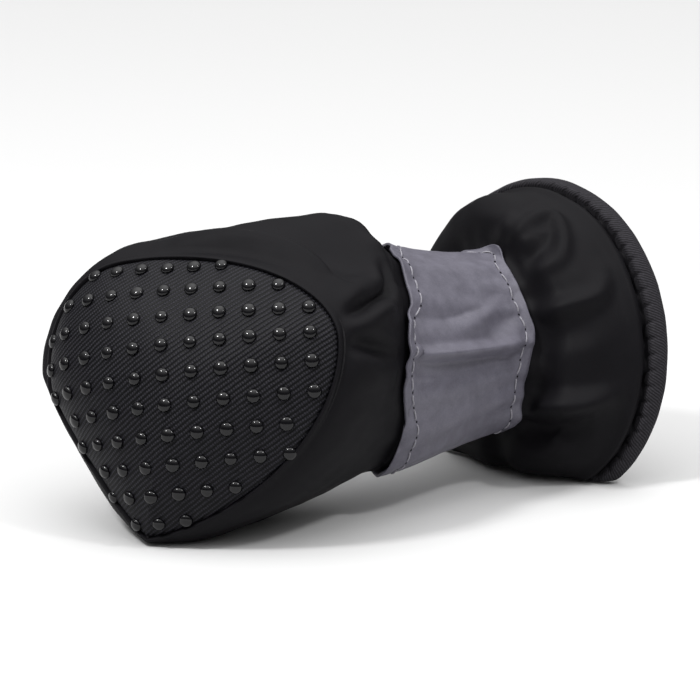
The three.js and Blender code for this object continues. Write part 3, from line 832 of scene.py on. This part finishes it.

# Glass-bead reflective tape: beads of 0.1 mm in grey resin, drawn at 0.24 mm so that they
# show, give an even pearl grey with a fine grain. Faint clouds over it are painted glints and painted shade
# of small wrinkles.
reflective_tape_finish, tree, output = new_material("glass_bead_tape")
where = add_node(tree, "ShaderNodeTexCoord", {}, {})
beads = add_node(tree, "ShaderNodeTexNoise", {}, {
    "Vector": where.outputs["Object"], "Scale": 4200.0, "Detail": 1.0,
})
# Faint lighter and darker clouds in the tape's colour: painted glints and painted shade of small wrinkles
glint_and_wrinkle_clouds = add_node(tree, "ShaderNodeTexNoise", {}, {
    "Vector": where.outputs["Object"], "Scale": 420.0, "Detail": 4.0, "Roughness": 0.6,
})
tone = add_node(tree, "ShaderNodeMath", {"operation": "MULTIPLY_ADD"}, {
    0: beads.outputs["Fac"], 1: 0.5, 2: glint_and_wrinkle_clouds.outputs["Fac"],
})
spread = add_node(tree, "ShaderNodeMapRange", {}, {
    "Value": tone.outputs["Value"], "From Min": 0.5, "From Max": 1.0,
})
colour = add_node(tree, "ShaderNodeMix", {"data_type": "RGBA"}, {
    0: spread.outputs["Result"], 6: srgb("#504e58"), 7: srgb("#62606b"),
})
bump = add_node(tree, "ShaderNodeBump", {}, {
    "Height": tone.outputs["Value"], "Distance": 0.00003, "Strength": 0.5,
})
shader = add_node(tree, "ShaderNodeBsdfPrincipled", {}, {
    "Base Color": colour.outputs[2], "Roughness": 0.5, "IOR": 1.5, "Specular IOR Level": 0.35,
    "Normal": bump.outputs["Normal"],
})
tree.links.new(shader.outputs["BSDF"], output.inputs["Surface"])

tape_rings = rest_on(np.concatenate([tape_front, tape_back[::-1]]), 0.0)
reflective_tape = ring_mesh("reflective_tape", tape_rings, reflective_tape_finish, looped=True)
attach(reflective_tape, "root")
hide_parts("reflective_band")

# The tape's stitching: two rows of grey lockstitch, 2.3 mm in from its edges. Each stitch is
# drawn down into its needle holes, which show as dark pricks in the tape.
STITCH_LENGTH = 2.3
STITCH_GAP = 0.55
STITCH_RISE = (-0.35, 0.06, 0.13, 0.15, 0.13, 0.06, -0.35)
STITCH_POINTS = len(STITCH_RISE)
STITCH_LEAN = 0.35
THREAD_RADIUS = 0.14
THREAD_END = 0.75
THREAD_SIDES = 6
HOLE_RADIUS = 0.26
HOLE_SIDES = 10

# Spun polyester thread: two plies twisted together, pale grey and dull
spun_thread, tree, output = new_material("spun_polyester_thread")
where = add_node(tree, "ShaderNodeTexCoord", {}, {})
plies = add_node(tree, "ShaderNodeTexNoise", {}, {
    "Vector": where.outputs["Object"], "Scale": 3000.0, "Detail": 2.0,
})
colour = add_node(tree, "ShaderNodeMix", {"data_type": "RGBA"}, {
    0: plies.outputs["Fac"], 6: srgb("#64626a"), 7: srgb("#a5a3aa"),
})
shader = add_node(tree, "ShaderNodeBsdfPrincipled", {}, {
    "Base Color": colour.outputs[2], "Roughness": 0.8, "IOR": 1.5,
})
tree.links.new(shader.outputs["BSDF"], output.inputs["Surface"])

# A needle hole is a shadow more than a surface: nearly black and matt
needle_hole, tree, output = new_material("needle_hole_shadow")
where = add_node(tree, "ShaderNodeTexCoord", {}, {})
fray = add_node(tree, "ShaderNodeTexNoise", {}, {
    "Vector": where.outputs["Object"], "Scale": 5000.0,
})
colour = add_node(tree, "ShaderNodeMix", {"data_type": "RGBA"}, {
    0: fray.outputs["Fac"], 6: srgb("#0c0b0d"), 7: srgb("#232226"),
})
shader = add_node(tree, "ShaderNodeBsdfPrincipled", {}, {
    "Base Color": colour.outputs[2], "Roughness": 1.0, "Specular IOR Level": 0.1,
})
tree.links.new(shader.outputs["BSDF"], output.inputs["Surface"])

stitch_draws = np.random.default_rng(12)
thread_points, thread_faces, thread_finish = [], [], []
for from_edge in (from_low, from_high):
    # The distances from the high edge run backwards along the tape's rows
    order = slice(None) if from_edge is from_low else slice(None, None, -1)
    rows_at = np.array([
        np.interp(STITCH_MARGIN, from_edge[order, c], np.arange(TAPE_ROWS)[order])
        for c in range(TAPE_COLUMNS)
    ])
    line = sample(tape_front, rows_at, np.arange(TAPE_COLUMNS))
    legs = np.linalg.norm(np.roll(line, -1, 0) - line, axis=-1)
    walk = np.concatenate([[0], legs.cumsum()])
    count = int(walk[-1] / (STITCH_LENGTH + STITCH_GAP))
    pitch = walk[-1] / count
    for k in range(count):
        start = k * pitch
        stops = start + np.linspace(0, pitch - STITCH_GAP, STITCH_POINTS)
        columns = np.interp(stops, walk, np.arange(TAPE_COLUMNS + 1))
        lean = stitch_draws.uniform(-STITCH_LEAN, STITCH_LEAN)
        rows = np.interp(columns, np.arange(TAPE_COLUMNS + 1), np.append(rows_at, rows_at[0]))
        rows = rows + lean * np.linspace(-1, 1, STITCH_POINTS)
        centre = sample(tape_front, rows, columns)
        out = sample(tape_out, rows, columns)
        centre = centre + out * np.array(STITCH_RISE)[:, None]
        ahead = np.gradient(centre, axis=0)
        ahead /= np.linalg.norm(ahead, axis=-1, keepdims=True)
        aside = np.cross(ahead, out)
        aside /= np.linalg.norm(aside, axis=-1, keepdims=True)
        above = np.cross(aside, ahead)
        base = len(thread_points)
        for p in range(STITCH_POINTS):
            at_end = p in (0, STITCH_POINTS - 1)
            thick = THREAD_RADIUS * (THREAD_END if at_end else stitch_draws.uniform(0.92, 1.12))
            for s in range(THREAD_SIDES):
                a = 2 * math.pi * s / THREAD_SIDES
                thread_points.append(centre[p] + thick * (math.cos(a) * aside[p] + math.sin(a) * above[p]))
        for p in range(STITCH_POINTS - 1):
            for s in range(THREAD_SIDES):
                n = (s + 1) % THREAD_SIDES
                a, b = base + p * THREAD_SIDES, base + (p + 1) * THREAD_SIDES
                thread_faces.append((a + s, a + n, b + n, b + s))
                thread_finish.append(0)
        last = base + (STITCH_POINTS - 1) * THREAD_SIDES
        thread_faces.append(tuple(base + s for s in reversed(range(THREAD_SIDES))))
        thread_faces.append(tuple(last + s for s in range(THREAD_SIDES)))
        thread_finish += [0, 0]

        # The needle hole just before the stitch: a thin dark disc set in the tape's face
        hole_walk = (start if k else walk[-1]) - STITCH_GAP / 2
        hole_column = np.interp(hole_walk, walk, np.arange(TAPE_COLUMNS + 1))
        hole_row = np.interp(hole_column, np.arange(TAPE_COLUMNS + 1), np.append(rows_at, rows_at[0]))
        middle = sample(tape_front, np.array([hole_row]), np.array([hole_column]))[0]
        out = sample(tape_out, np.array([hole_row]), np.array([hole_column]))[0]
        one = np.cross(out, ahead[0])
        one /= np.linalg.norm(one)
        two = np.cross(out, one)
        base = len(thread_points)
        thread_points.append(middle + out * 0.07)
        for s in range(HOLE_SIDES):
            a = 2 * math.pi * s / HOLE_SIDES
            spoke = 0.75 * math.cos(a) * one + math.sin(a) * two
            thread_points.append(middle + out * 0.01 + HOLE_RADIUS * spoke)
        thread_points.append(middle - out * 0.1)
        for s in range(HOLE_SIDES):
            n = (s + 1) % HOLE_SIDES
            thread_faces.append((base, base + 1 + s, base + 1 + n))
            thread_faces.append((base + 1 + HOLE_SIDES, base + 1 + n, base + 1 + s))
            thread_finish += [1, 1]
thread_mesh = bpy.data.meshes.new("tape_stitches")
thread_mesh.from_pydata([tuple(p * MM) for p in thread_points], [], thread_faces)
thread_mesh.materials.append(spun_thread)
thread_mesh.materials.append(needle_hole)
thread_mesh.polygons.foreach_set("material_index", thread_finish)
thread_mesh.shade_smooth()
tape_stitches = bpy.data.objects.new("tape_stitches", thread_mesh)
bpy.context.collection.objects.link(tape_stitches)
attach(tape_stitches, "root")

# The collar binding: knitted tape folded over the rim and sewn down through both legs, so
# its edge is drawn in at every stitch and runs in small scallops.
BINDING_LEG_PLACE = 7.81
BINDING_THICKNESS = 0.6
BINDING_CLEARANCE = 0.4
BINDING_COLUMNS = 800
BINDING_RIB = 0.42
BINDING_RIB_TURN = 32.0
SCALLOP = 2.8
SCALLOP_PULL = 0.336
binding_angles = np.linspace(0, 2 * math.pi, BINDING_COLUMNS, endpoint=False)
near_rim = np.array([BINDING_LEG_PLACE - 0.1, BINDING_LEG_PLACE, LAST_PLACE - 0.1, LAST_PLACE])
rim_lines = skin(near_rim[:, None] + 0 * binding_angles, binding_angles[None, :] + 0 * near_rim[:, None])
rim_out = outward_of(rim_lines)
leg_edge, rim_edge = rim_lines[1], rim_lines[3]
leg_out, edge_out = rim_out[1], rim_out[3]
leg_run = rim_edge - leg_edge
leg_length = np.linalg.norm(leg_run, axis=-1, keepdims=True)
leg_along = leg_run / leg_length
rim_walk = np.concatenate([[0], np.linalg.norm(np.roll(leg_edge, -1, 0) - leg_edge, axis=-1).cumsum()])
scallops = round(rim_walk[-1] / SCALLOP)
phase = 2 * math.pi * scallops * rim_walk[:-1] / rim_walk[-1]
pull = np.maximum(0, np.cos(phase + 0.5 * np.sin(5 * binding_angles)))[:, None] ** 3

# The tape's cross-section at the rim, down its outer leg: how far below the fold it is, as a
# share of the leg, how far off the skin, and how much the stitches draw it
OUTER_LEG = ((1.0, 0.02, 1.0), (1.02, 0.45, 1.0), (0.94, 0.85, 0.8), (0.78, 1.02, 0.35),
             (0.55, 1.06, 0.1), (0.28, 1.04, 0.0))
binding_path = []
for below, off, drawn in OUTER_LEG:
    out = leg_out * below + edge_out * (1 - below)
    out /= np.linalg.norm(out, axis=-1, keepdims=True)
    spot = rim_edge - leg_run * below
    spot = spot + leg_along * pull * SCALLOP_PULL * drawn
    binding_path.append(spot + out * (off - off * 0.6 * drawn * pull))
far = BINDING_CLEARANCE + BINDING_THICKNESS
fold_radius = WALL / 2 + far
for turn in (0, 25, 50, 75, 100, 125, 150, 180):
    a = math.radians(turn)
    binding_path.append(
        rim_edge + edge_out * (fold_radius * math.cos(a) - WALL / 2) + leg_along * fold_radius * math.sin(a)
    )
for below, off in ((0.35, far), (0.7, far), (0.92, far * 0.85), (1.0, 0.5), (1.0, 0.1)):
    out = leg_out * below + edge_out * (1 - below)
    out /= np.linalg.norm(out, axis=-1, keepdims=True)
    binding_path.append(rim_edge - leg_run * below - out * (WALL + off))
binding_rings = np.array(binding_path)
binding_rings += outward_of(binding_rings) * (0.08 * unevenness(binding_rings, 4.0, 31))[..., None]
binding_rings = rest_on(binding_rings, 0.0)
section_walk = np.concatenate([[0], np.linalg.norm(np.diff(binding_rings, axis=0), axis=-1).mean(1).cumsum()])
binding_pattern = np.zeros((len(binding_rings), BINDING_COLUMNS + 1, 2))
binding_pattern[..., 0] = rim_walk[None, :]
binding_pattern[..., 1] = section_walk[:, None]

# Knitted polyester tape: close diagonal ribs of 0.42 mm that catch the light, duller and a
# little lighter than the soft-shell beside it
knitted_tape, tree, output = new_material("knitted_binding_tape")
cloth = add_node(tree, "ShaderNodeAttribute", {"attribute_name": "cloth"}, {})
turned = add_node(tree, "ShaderNodeMapping", {}, {
    "Vector": cloth.outputs["Vector"], "Rotation": (0.0, 0.0, math.radians(BINDING_RIB_TURN)),
})
ribs = add_node(tree, "ShaderNodeTexWave", {"wave_type": "BANDS", "bands_direction": "X"}, {
    "Vector": turned.outputs["Vector"], "Scale": WAVE_PITCH / BINDING_RIB, "Distortion": 1.6,
    "Detail": 1.5, "Detail Scale": 1.5,
})
fleck = add_node(tree, "ShaderNodeTexNoise", {}, {
    "Vector": cloth.outputs["Vector"], "Scale": 3.2, "Detail": 3.0,
})
tone = add_node(tree, "ShaderNodeMath", {"operation": "MULTIPLY"}, {
    0: ribs.outputs["Fac"], 1: fleck.outputs["Fac"],
})
colour = add_node(tree, "ShaderNodeMix", {"data_type": "RGBA"}, {
    0: tone.outputs["Value"], 6: srgb("#19181a"), 7: srgb("#434147"),
})
bump = add_node(tree, "ShaderNodeBump", {}, {
    "Height": tone.outputs["Value"], "Distance": 0.0001, "Strength": 0.8,
})
shader = add_node(tree, "ShaderNodeBsdfPrincipled", {}, {
    "Base Color": colour.outputs[2], "Roughness": 0.82, "IOR": 1.45, "Specular IOR Level": 0.15,
    "Normal": bump.outputs["Normal"],
})
tree.links.new(shader.outputs["BSDF"], output.inputs["Surface"])

collar_tape = ring_mesh("collar_tape", binding_rings, knitted_tape, looped=True, pattern=binding_pattern)
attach(collar_tape, "root")
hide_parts("collar_binding")
